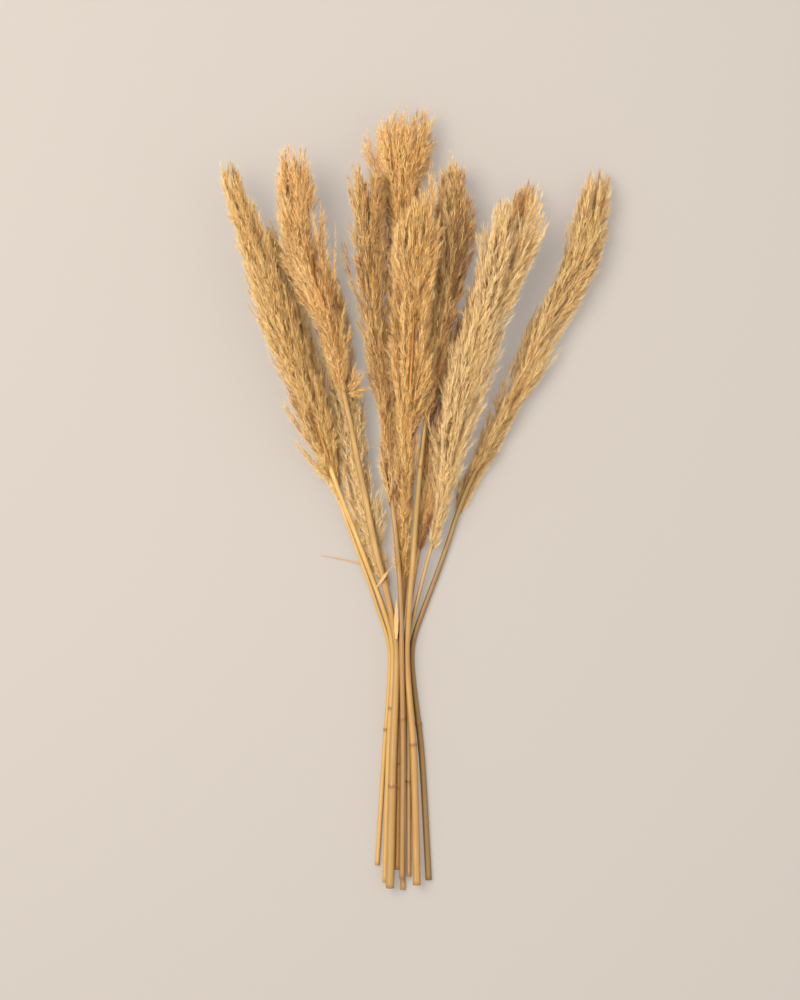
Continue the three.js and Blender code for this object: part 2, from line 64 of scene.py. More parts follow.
PLANTS = [dict(
    name="01", radius=3.0, joints=[-62], bare_to=176, palette="gold", colour=(237, 180, 102), tone=0.0,
    sleek=0.3, painted_right_shade=0.05, culm=(196, 156, 88),
    path=[
        [-17, -238, 6.2], [-13.5, -110, 7], [-8.5, 0, 7], [-13, 20, 8.4], [-19, 40, 9.2],
        [-26.2, 60, 10.8], [-34.2, 80, 12.8], [-41.5, 100, 15], [-49, 120, 18], [-57, 140, 21.5],
        [-67, 166, 27], [-77, 198, 34], [-94, 248, 45], [-117, 308, 54], [-139.5, 373, 55],
        [-150, 405, 53], [-161.5, 437, 51], [-170, 466, 47.5], [-172.5, 479, 46],
    ],
    widths=[
        [150, 2.5], [165, 4], [178, 6], [192, 12.5], [205, 18], [240, 18.3], [262, 18], [310, 20],
        [360, 19.5], [400, 15.5], [430, 12.5], [460, 9.5], [479, 7],
    ],
    side_tufts=[
        [-124, 253], [-122, 246], [-117, 240], [-114, 215], [-110, 208], [-105, 206], [-155, 345],
        [-179, 484], [-174, 487], [-166, 481], [-141, 436], [-146, 447],
    ],
    painted_shade_streaks=[[-103, 338, -99, 318], [-112, 262, -104, 236], [-92, 236, -84, 206]],
), dict(
    name="02", radius=2.5, taper=0.3, joints=[-84], palette="tan", colour=(255, 208, 132), tone=0.17,
    sleek=0.2, painted_right_shade=0.05, culm=(196, 156, 88),
    path=[
        [-25, -221, 2], [-18, -110, 2], [-11.7, 0, 2.2], [-18.2, 20, 3], [-25, 40, 4], [-31.2, 60, 5.5],
        [-38.7, 80, 7.3], [-46, 100, 7.6], [-53.4, 120, 7.8], [-60.8, 140, 8.4], [-70, 178, 12],
        [-83, 238, 17], [-99, 298, 19.5], [-116, 358, 20], [-130, 404, 19], [-134, 420, 18],
    ],
    widths=[
        [146, 4], [165, 7], [180, 11], [196, 15], [212, 18], [250, 19], [300, 20], [350, 17], [385, 9],
        [404, 5], [420, 3],
    ],
    side_tufts=[[-134, 434]],
    painted_shade_streaks=[[-104, 334, -101, 322], [-72, 228, -68, 206]],
), dict(
    name="03", radius=4.2, taper=0.35, joints=[69, -140], palette="amber", colour=(246, 182, 103),
    tone=0.01, painted_right_shade=0.07, culm=(170, 133, 77),
    path=[
        [-12, -243, 13], [-9, -110, 14], [-5, 0, 14.1], [-8, 20, 15.4], [-12, 40, 17], [-16.3, 60, 18.3],
        [-22, 80, 19.8], [-27, 100, 21.6], [-30.3, 120, 23.6], [-34, 135, 25.2], [-38.4, 161, 29],
        [-45.4, 191, 34], [-51, 223, 39], [-57, 248, 43], [-61, 268, 46], [-72, 320, 53], [-92, 376, 57],
        [-99.5, 400, 57], [-106, 430, 56], [-107.5, 460, 54.5], [-111.5, 495, 52],
    ],
    widths=[
        [252, 6], [280, 12], [300, 14], [320, 18.5], [340, 22], [373, 24], [400, 21.5], [425, 19],
        [460, 17.5], [480, 17], [495, 12],
    ],
    side_tufts=[
        [-79, 436], [-65, 426], [-67, 388], [-46, 284], [-41, 281], [-36, 276], [-31, 261], [-39, 252],
        [-50, 322],
    ],
    side_branches=[[-95, 424, -92, 474], [-93, 376, -80, 437], [-91, 362, -76, 414]],
    painted_shade_streaks=[[-76, 388, -64, 330], [-98, 420, -90, 380], [-70, 330, -62, 290]],
), dict(
    name="04", radius=2.4, joints=[-104], palette="brown", colour=(255, 208, 140), tone=0.26, sleek=0.2,
    painted_right_shade=-0.16, culm=(184, 140, 80),
    path=[
        [-12, -229, 1.9], [-9, -110, 1.9], [-7.1, 0, 2], [-9, 20, 2.3], [-11.5, 40, 2.9], [-16.5, 60, 4.2],
        [-22.5, 80, 6.2], [-28.5, 98, 8], [-39, 138, 15], [-46.5, 168, 18.5], [-51, 204, 20.5],
        [-57, 242, 20], [-62, 278, 18], [-72, 340, 17], [-79, 384, 16],
    ],
    widths=[
        [60, 2.5], [75, 5.5], [90, 9], [105, 12], [120, 14.5], [140, 16], [160, 16], [180, 16.5],
        [220, 18.5], [260, 18.5], [330, 16], [384, 6],
    ],
    side_tufts=[[-20, 164], [-38, 238], [-32, 180], [-36, 213], [-62, 190], [-60, 176]],
    side_branches=[[-25, 92, -23, 148]],
    painted_shade_streaks=[[-62, 300, -56, 262]],
), dict(
    name="05", radius=2.9, joints=[-72], palette="brown", colour=(221, 161, 88), tone=-0.02, slits=1.1,
    sleek=0.1, painted_right_shade=0.14, culm=(160, 122, 70),
    path=[
        [0, -234, 11.6], [1, -110, 12.6], [-0.4, 0, 19], [-0.6, 20, 19.3], [-0.9, 40, 19.7],
        [-1.9, 60, 20.6], [-3.4, 80, 22.6], [-5, 100, 25], [-6.8, 120, 27.2], [-9, 134, 28.2],
        [-13, 198, 32], [-19, 258, 36], [-27, 328, 40], [-32.5, 398, 43], [-36.5, 480, 43],
    ],
    widths=[
        [136, 5], [152, 8], [170, 9], [190, 9], [220, 9], [258, 10], [290, 13], [330, 15.5], [380, 16],
        [420, 16], [450, 17.5], [465, 17], [480, 11],
    ],
    side_tufts=[
        [-56, 463], [-51, 424], [-45, 376], [-44, 352], [-42, 487], [-38, 300], [-36, 281], [-21, 196],
        [-33, 478], [-36, 472], [-15, 440], [-13, 420], [-12, 398], [-12, 376], [-11, 352], [-10, 330],
    ],
    side_branches=[[-38, 334, -58, 408]],
    painted_shade_streaks=[[-30, 300, -24, 262]],
), dict(
    name="06", radius=2.7, joints=[-150], palette="tan", colour=(254, 188, 105), tone=0.02,
    painted_right_shade=0.06, culm=(176, 136, 78),
    path=[
        [1, -246, 2.15], [0.5, -110, 2.15], [-2.5, 0, 2.4], [-0.5, 20, 2.6], [1, 40, 2.9], [3, 60, 3.4],
        [6.5, 88, 5], [3.5, 150, 9], [2, 210, 12], [1, 300, 19], [0, 400, 22], [-0.5, 450, 23],
        [0, 480, 24], [2, 500, 24.5], [6, 517, 24.5], [11, 534, 24.5],
    ],
    widths=[
        [130, 4], [170, 8], [230, 13], [300, 19], [400, 21], [440, 22], [460, 25], [480, 28], [500, 29.5],
        [517, 25.5], [534, 18],
    ],
    side_tufts=[
        [-39, 518], [-35, 508], [-39, 500], [-27, 528], [-37, 486], [-33, 497], [33, 512], [32, 536],
        [27, 543], [20, 544], [20, 456],
    ],
    side_branches=[[-20, 470, -36, 512]],
    painted_shade_streaks=[[-11, 434, -6, 414], [2, 446, 5, 424]],
), dict(
    name="07", radius=3.0, joints=[-118], palette="gold", colour=(252, 191, 107), tone=-0.02, slits=1.3,
    sleek=0.1, painted_right_shade=0.04, culm=(184, 140, 80),
    path=[
        [-5, -225, 6.4], [-3.5, -110, 7], [-2.9, 0, 7.8], [-1.2, 20, 8.6], [0, 40, 9.8], [1, 60, 11],
        [2, 108, 17], [3.5, 158, 27], [6, 228, 43], [10, 298, 57], [13, 368, 61], [16, 440, 61],
    ],
    widths=[
        [66, 4], [108, 8], [158, 12], [210, 14.5], [240, 17], [280, 21.5], [350, 24], [400, 22], [425, 17],
        [440, 10],
    ],
    side_tufts=[[31, 482], [27, 464], [21, 462], [24, 454], [18, 456], [22, 243]],
    side_branches=[[22, 420, 28, 474]],
    painted_shade_streaks=[[-4, 330, -2, 290], [14, 240, 12, 200], [2, 180, 3, 150]],
), dict(
    name="08", radius=4.0, taper=0.45, joints=[182, -98], palette="brown", colour=(243, 185, 112),
    tone=0.01, slits=2.1, sleek=0.2, painted_right_shade=0.28, culm=(178, 136, 74), green=96,
    path=[
        [15, -240, 12.8], [12, -110, 13.8], [4.5, 0, 13.9], [6.2, 20, 15.4], [7.4, 40, 17.4],
        [8.6, 60, 19.4], [10.6, 80, 21.4], [12, 100, 23.6], [13.2, 120, 25.7], [15.5, 148, 31],
        [18.4, 182, 36], [23, 224, 38.5], [29, 268, 35], [37, 308, 32], [45, 358, 31], [52, 420, 30],
        [49.5, 483, 30],
    ],
    widths=[
        [218, 6], [235, 9], [265, 12], [300, 13], [340, 16.5], [360, 18], [380, 20], [400, 22], [420, 23],
        [440, 17.5], [460, 14.5], [483, 9],
    ],
    side_tufts=[
        [77, 427], [73, 438], [68, 455], [50, 499], [62, 483], [75, 411], [71, 397], [66, 384], [62, 370],
    ],
    painted_shade_streaks=[
        [58, 442, 55, 388], [66, 422, 59, 378], [50, 376, 44, 320], [57, 396, 52, 350], [37, 300, 33, 250],
    ],
    painted_light_streaks=[[43, 340, 47, 400], [39, 320, 43, 390]],
), dict(
    name="09", radius=2.5, joints=[-136], palette="gold", colour=(255, 207, 139), tone=0.125, slits=1.2,
    sleek=0.45, painted_right_shade=0.08, culm=(176, 142, 90),
    path=[
        [7, -232, 6.2], [6.6, -110, 7.2], [4.5, 0, 7.5], [9.5, 20, 8.7], [13.8, 40, 9.4], [18.6, 60, 10],
        [24, 80, 11], [29, 100, 13.5], [39.5, 140, 23], [42.5, 160, 28], [44.5, 180, 32.5],
        [49, 200, 36.5], [53.5, 220, 40], [58, 240, 43.5], [64, 260, 46], [70, 285, 49], [77.5, 310, 52.5],
        [85.5, 335, 55], [94, 362, 57], [100, 388, 58], [101.5, 412, 57], [99, 436, 56],
    ],
    widths=[
        [96, 3], [120, 5], [140, 8], [160, 12], [180, 14.5], [200, 16.5], [220, 18], [240, 20],
        [260, 19.5], [280, 21], [300, 21.5], [340, 22], [360, 23], [388, 22.5], [412, 19.5], [435, 12],
    ],
    side_tufts=[
        [145, 423], [140, 446], [136, 402], [126, 384], [122, 370], [118, 358], [105, 320], [100, 303],
        [99, 282], [37, 116], [41, 130], [24, 240], [81, 258], [103, 449], [67, 358], [62, 340],
        [141, 413], [138, 400],
    ],
    side_branches=[
        [98, 356, 125, 438], [104, 366, 129, 449], [108, 372, 134, 453], [112, 372, 138, 446],
        [106, 350, 132, 428], [108, 356, 136, 434], [102, 346, 128, 416], [112, 368, 139, 420],
    ],
    painted_shade_streaks=[[121, 442, 104, 418], [99, 408, 92, 384], [44, 205, 61, 260]],
), dict(
    name="10", radius=3.3, joints=[-78], bare_to=172, palette="gold", colour=(255, 202, 126), tone=0.12,
    slits=1.8, sleek=0.6, painted_right_shade=0.08, culm=(140, 107, 53), green=106,
    path=[
        [27, -236, 2.65], [20, -110, 2.65], [9.2, 0, 2.9], [15.6, 20, 2.9], [22.8, 40, 2.9], [30.4, 60, 3],
        [38, 80, 3.2], [45, 100, 3.8], [51.4, 120, 4.8], [59, 143, 6.2], [67.5, 163, 7.6], [81.5, 193, 10],
        [103, 237, 14], [116.8, 262, 15.5], [134.5, 303, 17.5], [150.2, 330, 18.2], [166.3, 360, 18.5],
        [177, 380, 18.5], [182.8, 402, 18.5], [191.5, 440, 18.5], [197, 471, 18],
    ],
    widths=[
        [126, 3], [142, 5.5], [160, 7.5], [180, 8.5], [200, 10.5], [220, 12], [240, 12], [260, 14.5],
        [280, 16.5], [300, 17.5], [320, 18], [360, 18.5], [380, 18.5], [400, 18.5], [420, 15.5], [440, 14],
        [455, 11.5], [471, 9],
    ],
    side_tufts=[
        [131, 320], [113, 288], [104, 270], [98, 256], [161, 300], [146, 281], [116, 238], [101, 205],
        [202, 408], [211, 444], [166, 322], [208, 474], [203, 478],
    ],
    painted_shade_streaks=[[172, 372, 150, 342], [134, 322, 123, 298], [126, 275, 104, 236], [90, 202, 78, 176]],
), dict(
    name="11", radius=2.9, joints=[-124], palette="brown", colour=(234, 166, 95), tone=-0.02, slits=1.5,
    sleek=0.5, painted_right_shade=0.0, culm=(176, 136, 78),
    path=[
        [14, -218, 2.3], [10, -110, 2.3], [3.4, 0, 2.5], [5.4, 20, 2.6], [7.8, 40, 2.9], [10.4, 60, 3.9],
        [13.8, 82, 5.6], [17.5, 100, 8], [22.5, 130, 13], [26.5, 165, 18], [32.5, 205, 20], [46, 260, 18],
        [66, 315, 15.5], [89, 365, 17], [109, 410, 18], [125.5, 462, 18],
    ],
    widths=[
        [92, 3], [128, 9], [160, 12], [208, 15], [260, 16], [330, 17], [400, 16], [440, 10.5], [462, 6],
    ],
    side_tufts=[[128, 470], [130, 458], [22, 172], [23, 190], [25, 206], [27, 222], [29, 180]],
    painted_shade_streaks=[[18, 96, 27, 130]],
    painted_light_streaks=[[22, 150, 27, 215], [20, 140, 30, 175]],
)]
PLANTS = [{**DEFAULTS, **plant} for plant in PLANTS]

# -------- curves and frames

UPRIGHT = np.array([0.0, 0.0, 1.0])
SMOOTHING_OFFSETS = np.array([-18.0, -9.0, 0.0, 9.0, 18.0])
SMOOTHING_WEIGHTS = np.array([0.12, 0.24, 0.28, 0.24, 0.12])


def unit(vectors):
    return vectors / np.maximum(np.linalg.norm(vectors, axis=-1, keepdims=True), 1e-12)


def arch(t):
    """Rises from 0 at both ends to 1 in the middle."""
    return 4 * t * (1 - t)


def bell(distance, width):
    return np.exp(-((distance / width) ** 2))


def value_at(pairs, places):
    """Values at the places on the smooth curve through [place, value] pairs, level where it turns."""
    knots, values = np.array(pairs, float).T
    rise = np.diff(values) / np.diff(knots)
    slopes = np.empty(len(knots))
    slopes[0], slopes[-1] = rise[0], rise[-1]
    product = rise[:-1] * rise[1:]
    total = np.where(product > 0, rise[:-1] + rise[1:], 1.0)
    slopes[1:-1] = np.where(product > 0, 2 * product / total, 0.0)
    places = np.asarray(places, float)
    i = np.clip(np.searchsorted(knots, places, side="right") - 1, 0, len(knots) - 2)
    span = knots[i + 1] - knots[i]
    t = np.clip((places - knots[i]) / span, 0, 1)
    bend = t * t * (3 - 2 * t)
    smooth = values[i] * (1 - bend) + values[i + 1] * bend
    smooth += t * (1 - t) ** 2 * span * slopes[i] + t * t * (t - 1) * span * slopes[i + 1]
    smooth += np.minimum(places - knots[0], 0) * slopes[0]
    return smooth + np.maximum(places - knots[-1], 0) * slopes[-1]


def axis_at(plant, y):
    """Points on a plant's axis at y, in mm from the gather point, and its along, side and up there."""
    path = np.array(plant["path"], float)
    across, height = path[:, [1, 0]], path[:, [1, 2]]

    def place(where):
        spots = where[..., None] + SMOOTHING_OFFSETS
        x = (value_at(across, spots) * SMOOTHING_WEIGHTS).sum(-1)
        z = (value_at(height, spots) * SMOOTHING_WEIGHTS).sum(-1)
        return np.stack([x, where, z], -1)

    y = np.asarray(y, float)
    point = place(y)
    along = unit(place(y + 1) - point)
    side = unit(np.cross(along, UPRIGHT))
    return point, along, side, np.cross(side, along)


# -------- mesh building

TONE_BINS = 48  # tones are rounded to so many steps, each with its own strip of the UV map
BELOW_ONE = 0.9999  # keeps the palest tone in the last step
STRIP_MARGIN = 0.1


def tone_step(tones):
    return np.floor(tones * TONE_BINS * BELOW_ONE)


class Strands:
    """Collects closed tapered strands, with a tone for each and how far along each point is."""

    def __init__(self):
        self.points, self.tones, self.alongs = [], [], []
        self.loops, self.sizes, self.uvs = [], [], []
        self.count = 0

    def add(self, centres, widths, tones, facing=UPRIGHT, flatness=1.0, sides=3):
        """Adds strands. centres is (n, rings, 3), and widths are half widths, for each ring or for all.

        The first and last centre of each are its pointed ends. facing is what the broad side faces.
        """
        n, rings = centres.shape[:2]
        widths = np.broadcast_to(widths, (n, rings))[..., None]
        along = unit(np.gradient(centres, axis=1))
        side = unit(np.cross(along, np.broadcast_to(facing, (n, 3))[:, None]))
        up = np.cross(side, along)
        turn = 2 * np.pi * np.arange(sides) / sides
        inner = slice(1, rings - 1)
        rim = (
            centres[:, inner, None]
            + (side * widths)[:, inner, None] * np.cos(turn)[:, None]
            + (up * (widths * flatness))[:, inner, None] * np.sin(turn)[:, None]
        )
        points = np.concatenate([centres[:, :1], rim.reshape(n, -1, 3), centres[:, -1:]], axis=1)
        alongs = np.concatenate([[0.0], np.repeat(np.linspace(0, 1, rings)[inner], sides), [1.0]])
        first = self.count + np.arange(n)[:, None] * points.shape[1]
        k = np.arange(sides)
        after = (k + 1) % sides
        last = 1 + (rings - 3) * sides
        tip = points.shape[1] - 1
        around = np.concatenate([[0.5], np.tile(k / (sides - 1), rings - 2), [0.5]])
        foot = np.stack([0 * k, 1 + after, 1 + k], -1)
        head = np.stack([last + k, last + after, 0 * k + tip], -1)
        shapes = [np.concatenate([foot, head])]
        for low in range(1, last, sides):
            high = low + sides
            shapes.append(np.stack([low + k, low + after, high + after, high + k], -1))
        strips = tone_step(tones)[:, None, None] + STRIP_MARGIN
        for faces in shapes:
            u = (strips + (1 - 2 * STRIP_MARGIN) * around[faces]) / TONE_BINS
            v = np.broadcast_to(alongs[faces], u.shape)
            self.uvs.append(np.stack([u, v], -1).reshape(-1, 2))
            self.loops.append((first[..., None] + faces).ravel())
            self.sizes.append(np.full(n * len(faces), faces.shape[1]))
        self.points.append(points.reshape(-1, 3))
        self.tones.append(np.repeat(tones, points.shape[1]))
        self.alongs.append(np.tile(alongs, n))
        self.count += n * points.shape[1]

    def build(self, name):
        points, loops, sizes, uvs, tones, alongs = map(np.concatenate, (
            self.points, self.loops, self.sizes, self.uvs, self.tones, self.alongs,
        ))
        tones = (tone_step(tones) + 0.5) / TONE_BINS
        return mesh_object(name, points, loops, sizes, uvs, {"tone": tones, "along": alongs})


def add_object(name, data):
    obj = bpy.data.objects.new(name, data)
    bpy.context.collection.objects.link(obj)
    return obj


def fill(items, key, values, kind=np.float32):
    items.foreach_set(key, values.astype(kind).ravel())


def mesh_object(name, points, loops, sizes, uvs, attributes):
    """A smooth-shaded object from points in mm, each face's corners and size, and values at points."""
    mesh = bpy.data.meshes.new(name)
    mesh.vertices.add(len(points))
    fill(mesh.vertices, "co", (points + GATHER_POINT) * MM)
    mesh.loops.add(len(loops))
    fill(mesh.loops, "vertex_index", loops, np.int32)
    mesh.polygons.add(len(sizes))
    fill(mesh.polygons, "loop_start", np.concatenate([[0], np.cumsum(sizes)[:-1]]), np.int32)
    fill(mesh.polygons, "use_smooth", np.ones(len(sizes)), bool)
    mesh.update(calc_edges=True)
    fill(mesh.uv_layers.new(name="OFBake").data, "uv", uvs)
    for key, values in attributes.items():
        kind, field = ("FLOAT", "value") if values.ndim == 1 else ("FLOAT_VECTOR", "vector")
        fill(mesh.attributes.new(key, kind, "POINT").data, field, values)
    return add_object(name, mesh)


def tube(rows, around, levels, flip=False):
    """Point numbers, quads and UVs of a tube of rings, with v from levels. flip turns its faces over."""
    grid = np.arange(rows * around).reshape(rows, around)
    after = np.roll(grid, -1, axis=1)
    quads = np.stack([grid[:-1], after[:-1], after[1:], grid[1:]], -1).reshape(-1, 4)
    left = (np.arange(around) / around)[None].repeat(rows - 1, 0)
    right = left + 1 / around
    low, high = levels[:-1, None].repeat(around, 1), levels[1:, None].repeat(around, 1)
    uvs = np.stack([left, low, right, low, right, high, left, high], -1).reshape(-1, 4, 2)
    if flip:
        turned = [0, 3, 2, 1]
        quads, uvs = quads[:, turned], uvs[:, turned]
    return grid, quads, uvs.reshape(-1, 2)


# -------- materials

WHITE = (1.0, 1.0, 1.0, 1.0)
BLACK = (0.0, 0.0, 0.0, 1.0)
CREAM = (252, 211, 140)
OLIVE = (150, 120, 60)
# the brown of the stems' joints, also painted into their hollow cut ends as painted shade
JOINT_AND_HOLLOW_SHADE_BROWN = (128, 86, 42)


def srgb(colour):
    """A linear colour from 0-255 values."""
    channels = np.array(colour) / 255
    linear = np.where(channels <= 0.04045, channels / 12.92, ((channels + 0.055) / 1.055) ** 2.4)
    return (*linear.tolist(), 1.0)


def shaded(colour, red, green, blue):
    return (colour[0] * red, colour[1] * green, colour[2] * blue, 1.0)


def mixed(a, b, share):
    return tuple(p * (1 - share) + q * share for p, q in zip(a, b))


class Nodes:
    """A material under construction, with short ways to add and join its nodes."""

    def __init__(self, name):
        self.material = bpy.data.materials.new(name)
        self.material.use_nodes = True
        self.tree = self.material.node_tree
        self.shader = self.tree.nodes["Principled BSDF"]

    def put(self, value, socket):
        """Sets a socket to a number or colour, or joins another node's output to it."""
        if isinstance(value, (int, float, tuple)):
            socket.default_value = value
        else:
            self.tree.links.new(value, socket)

    def add(self, kind, inputs, output=0, **settings):
        """Adds a node, fills its inputs, and gives one of its outputs."""
        node = self.tree.nodes.new("ShaderNode" + kind)
        for key, value in settings.items():
            setattr(node, key, value)
        for key, value in inputs.items():
            self.put(value, node.inputs[key])
        return node.outputs[output]

    def attribute(self, name, output="Fac"):
        return self.add("Attribute", {}, output, attribute_name=name)

    def maths(self, operation, a, b):
        return self.add("Math", {0: a, 1: b}, operation=operation)

    def mix(self, factor, a, b, blend="MIX"):
        return self.add("Mix", {0: factor, 6: a, 7: b}, 2, data_type="RGBA", blend_type=blend)

    def stretched(self, vector, scale):
        return self.add("Mapping", {"Vector": vector, "Scale": scale})

    def noise(self, vector, detail, scale=1.0):
        return self.add("TexNoise", {"Vector": vector, "Detail": detail, "Scale": scale})

    def ramp(self, factor, stops):
        colour = self.add("ValToRGB", {0: factor})
        elements = colour.node.color_ramp.elements
        while len(elements) < len(stops):
            elements.new(0.5)
        for element, (place, shade) in zip(elements, stops):
            element.position = place
            element.color = shade
        return colour

    def bump(self, height, strength, distance):
        inputs = {"Height": height, "Strength": strength, "Distance": distance}
        self.put(self.add("Bump", inputs), self.shader.inputs["Normal"])

    def surface(self, values):
        """Puts values into the shader's own sockets and gives the material."""
        for socket, value in values.items():
            self.put(value, self.shader.inputs[socket])
        return self.material


def plume_material(name, middle):
    """Fluff whose colour runs from a shaded brown through the middle colour to pale cream tips, each strand
    painted darker towards its root as painted shade.
    """
    m = Nodes(name)
    tone = m.attribute("tone")
    along = m.attribute("along")
    place = m.stretched(m.add("CombineXYZ", {0: tone, 1: along}), (40.0, 5.0, 1.0))
    speckle = m.maths("SUBTRACT", m.noise(place, 3.0), 0.5)
    base, cream = srgb(middle), srgb(CREAM)
    colour = m.ramp(m.maths("ADD", tone, m.maths("MULTIPLY", speckle, 0.2)), [
        (0.02, shaded(base, 0.34, 0.27, 0.20)), (0.28, shaded(base, 0.68, 0.60, 0.50)),
        (0.52, base), (0.78, mixed(base, cream, 0.4)), (1.0, mixed(base, cream, 0.75)),
    ])
    # painted shade: each strand is painted darker towards its root, inside the fluff
    root_painted_shade = m.ramp(along, [(0.0, (0.76, 0.70, 0.62, 1.0)), (0.45, WHITE)])
    return m.surface({
        "Base Color": m.mix(1.0, colour, root_painted_shade, "MULTIPLY"),
        "Roughness": 0.6,
        "Specular IOR Level": 0.25,
        "Subsurface Weight": 0.45,
        "Subsurface Radius": (1.0, 0.62, 0.34),
        "Subsurface Scale": 0.0015,
        "Sheen Weight": 0.25,
        "Sheen Roughness": 0.5,
        "Sheen Tint": (1.0, 0.8, 0.5, 1.0),
    })


def stem_material(name, culm):
    """Straw with long fine fibres, worn patches, and warmer, olive and brown parts by attribute: the brown
    of its joints, and painted shade inside its hollow cut end.
    """
    m = Nodes(name)
    straw = srgb(culm)
    place = m.attribute("stem_place", "Vector")
    fibres = m.noise(m.stretched(place, (7.0, 7.0, 0.05)), 5.0)
    patches = m.noise(place, 4.0, scale=0.03)
    body = m.ramp(fibres, [
        (0.3, shaded(straw, 0.64, 0.53, 0.4)), (0.48, straw), (0.72, shaded(straw, 1.3, 1.4, 1.6)),
    ])
    worn = m.mix(m.ramp(patches, [(0.45, BLACK), (0.7, WHITE)]), body, shaded(straw, 0.82, 0.8, 0.76))
    warm = m.mix(m.attribute("warm"), worn, shaded(straw, 0.8, 0.72, 0.55))
    green = m.mix(m.attribute("green"), warm, srgb(OLIVE))
    m.bump(fibres, 0.35, 0.0004)
    return m.surface({
        # the joint attribute gives the joints' own brown, and painted shade inside the hollow cut end
        "Base Color": m.mix(m.attribute("joint"), green, srgb(JOINT_AND_HOLLOW_SHADE_BROWN)),
        "Roughness": 0.42,
    })


def leaf_material():
    """Papery veined leaf, from pale to brown by its age."""
    m = Nodes("dry_leaf")
    veins = m.noise(m.stretched(m.attribute("leaf_place", "Vector"), (9.0, 0.6, 1.0)), 4.0)
    pale = m.ramp(veins, [
        (0.3, srgb((170, 124, 68))), (0.5, srgb((206, 166, 108))), (0.75, srgb((226, 192, 138))),
    ])
    brown = m.ramp(veins, [(0.3, srgb((128, 80, 38))), (0.7, srgb((184, 126, 66)))])
    m.bump(veins, 0.4, 0.0003)
    return m.surface({"Base Color": m.mix(m.attribute("age"), pale, brown), "Roughness": 0.6})


# -------- plumes

BRANCH_DENSITY = 0.0225  # branches for each mm of length and mm of half width
BRANCH_LENGTH = (60, 115)
SHORTEST_BRANCH = 16.0
BRANCH_POINTS = 8
BRANCH_HALF_WIDTH = 0.3
BRANCH_SPREAD = 1.9  # how soon branches reach their full distance from the axis
BRANCH_FLARE = (-0.05, 0.12)
BRANCH_SWIRL = 0.25
BRANCH_SWAY = 0.9
ROOTS_FROM_FOOT = (-14, 12)  # how far above the plume's foot the lowest branches start
ENDS_FROM_FOOT = 12.0
ENDS_FROM_TIP = 20.0
CROWN_SHARE = 0.27  # share of the branches that end in the plume's crown
CROWN_FROM_TIP = 15.0
CROWN_LENGTH = 34.0
CROWN_BRANCH = 0.8  # length of its branches, over that of the others
INNERMOST = 0.08  # share of a plume's section that has no branch in it
PLUME_FLATNESS = 0.8
STALK_RINGS = 20

SIDE_OVERHANG = 17.0  # how far tufts reach on past a side branch's end
SIDE_BRANCH_BOW = 2.0
SIDE_TUFT_LENGTH = 27.0
SIDE_TUFT_SLANT = 2.6  # least length over how far the tuft stands out
SIDE_TUFT_BOW = 1.6
SIDE_TUFT_ROOT = 0.5  # distance from the axis, over the half width
SIDE_TUFT_OVERHANG = 5.0
SIDE_TUFT_SHARES = (1.0, 0.86, 0.7)

TUFTS_PER_BRANCH = 9
TUFT_LENGTH = 19.0
TUFT_LEAN = (9, 27)  # degrees from the branch
TUFT_POINTS = 4
TUFT_HALF_WIDTHS = 0.2 * np.array([1, 0.9, 0.7, 0.3])
TUFT_OVERHANG = 5.0  # how far tufts stand out past the branches they grow on
END_LEAN = 0.3  # lean of the last shoot on a branch or tuft, over that of the others

SPIKELETS_PER_TUFT = 14
SPIKELET_LENGTH = 8.6
SPIKELET_LEAN = (16, 8)  # degrees from the tuft, mean and spread
SPIKELET_HALF_WIDTH = 0.4
SPIKELET_TAPER = np.array([0, 1.0, 0.62, 0])
SPIKELET_FLATNESS = 0.55
HAIRS_PER_SPIKELET = 1.1
HAIR_LENGTH = (4.5, 9.0)
HAIR_LEAN = (8, 40)
HAIR_HALF_WIDTHS = np.array([0, 0.11, 0])

MIDDLE_TONE = 0.618
# painted shade: the heart of the plume is painted darker
INNER_PAINTED_SHADE = 0.26  # how much darker the heart of a plume is
TONE_PLAY = 0.135
HAIR_TONE = 0.15  # how much paler hairs are than their spikelets
TONE_LIMITS = (0.02, 0.98)
PATCH_WAVES = 7
PATCH_LENGTHS = ((9, 20), (35, 90), (9, 20))  # across, along and through the plume
DARK_PATCH = 0.28
PALE_PATCH = 0.12
SLIT_WAVES = 5
SLIT_LENGTHS = ((4, 8), (18, 40), (5, 9))
SLIT_DEPTH = 0.38
# painted shade along a plume's listed dark lines
PAINTED_SHADE_HALF_WIDTH = 2.4
PAINTED_SHADE_DEPTH = 0.4
# painted light along a plume's listed pale lines
PAINTED_LIGHT_HALF_WIDTH = 6.0
PAINTED_LIGHT_DEPTH = 0.3

SURFACE_GAP = 0.65  # least height of spikelets above the surface
BARE_FADE = 14.0  # length over which strands close over a culm again
BARE_RISE = 18.0
CULM_CLEARANCE = 1.3  # over the culm's radius


def foot_and_tip(plant):
    """The y of a plume's foot and of its tip."""
    return plant["widths"][0][0], plant["path"][-1][1]


def plume_radius(plant, y):
    return value_at(plant["widths"], np.clip(y, *foot_and_tip(plant)))


def stem_radius(plant, y):
    start = plant["path"][0][1]
    share = np.clip((y - start) / (foot_and_tip(plant)[0] - start), 0, 1)
    return plant["radius"] * (1 - plant["taper"] * share)


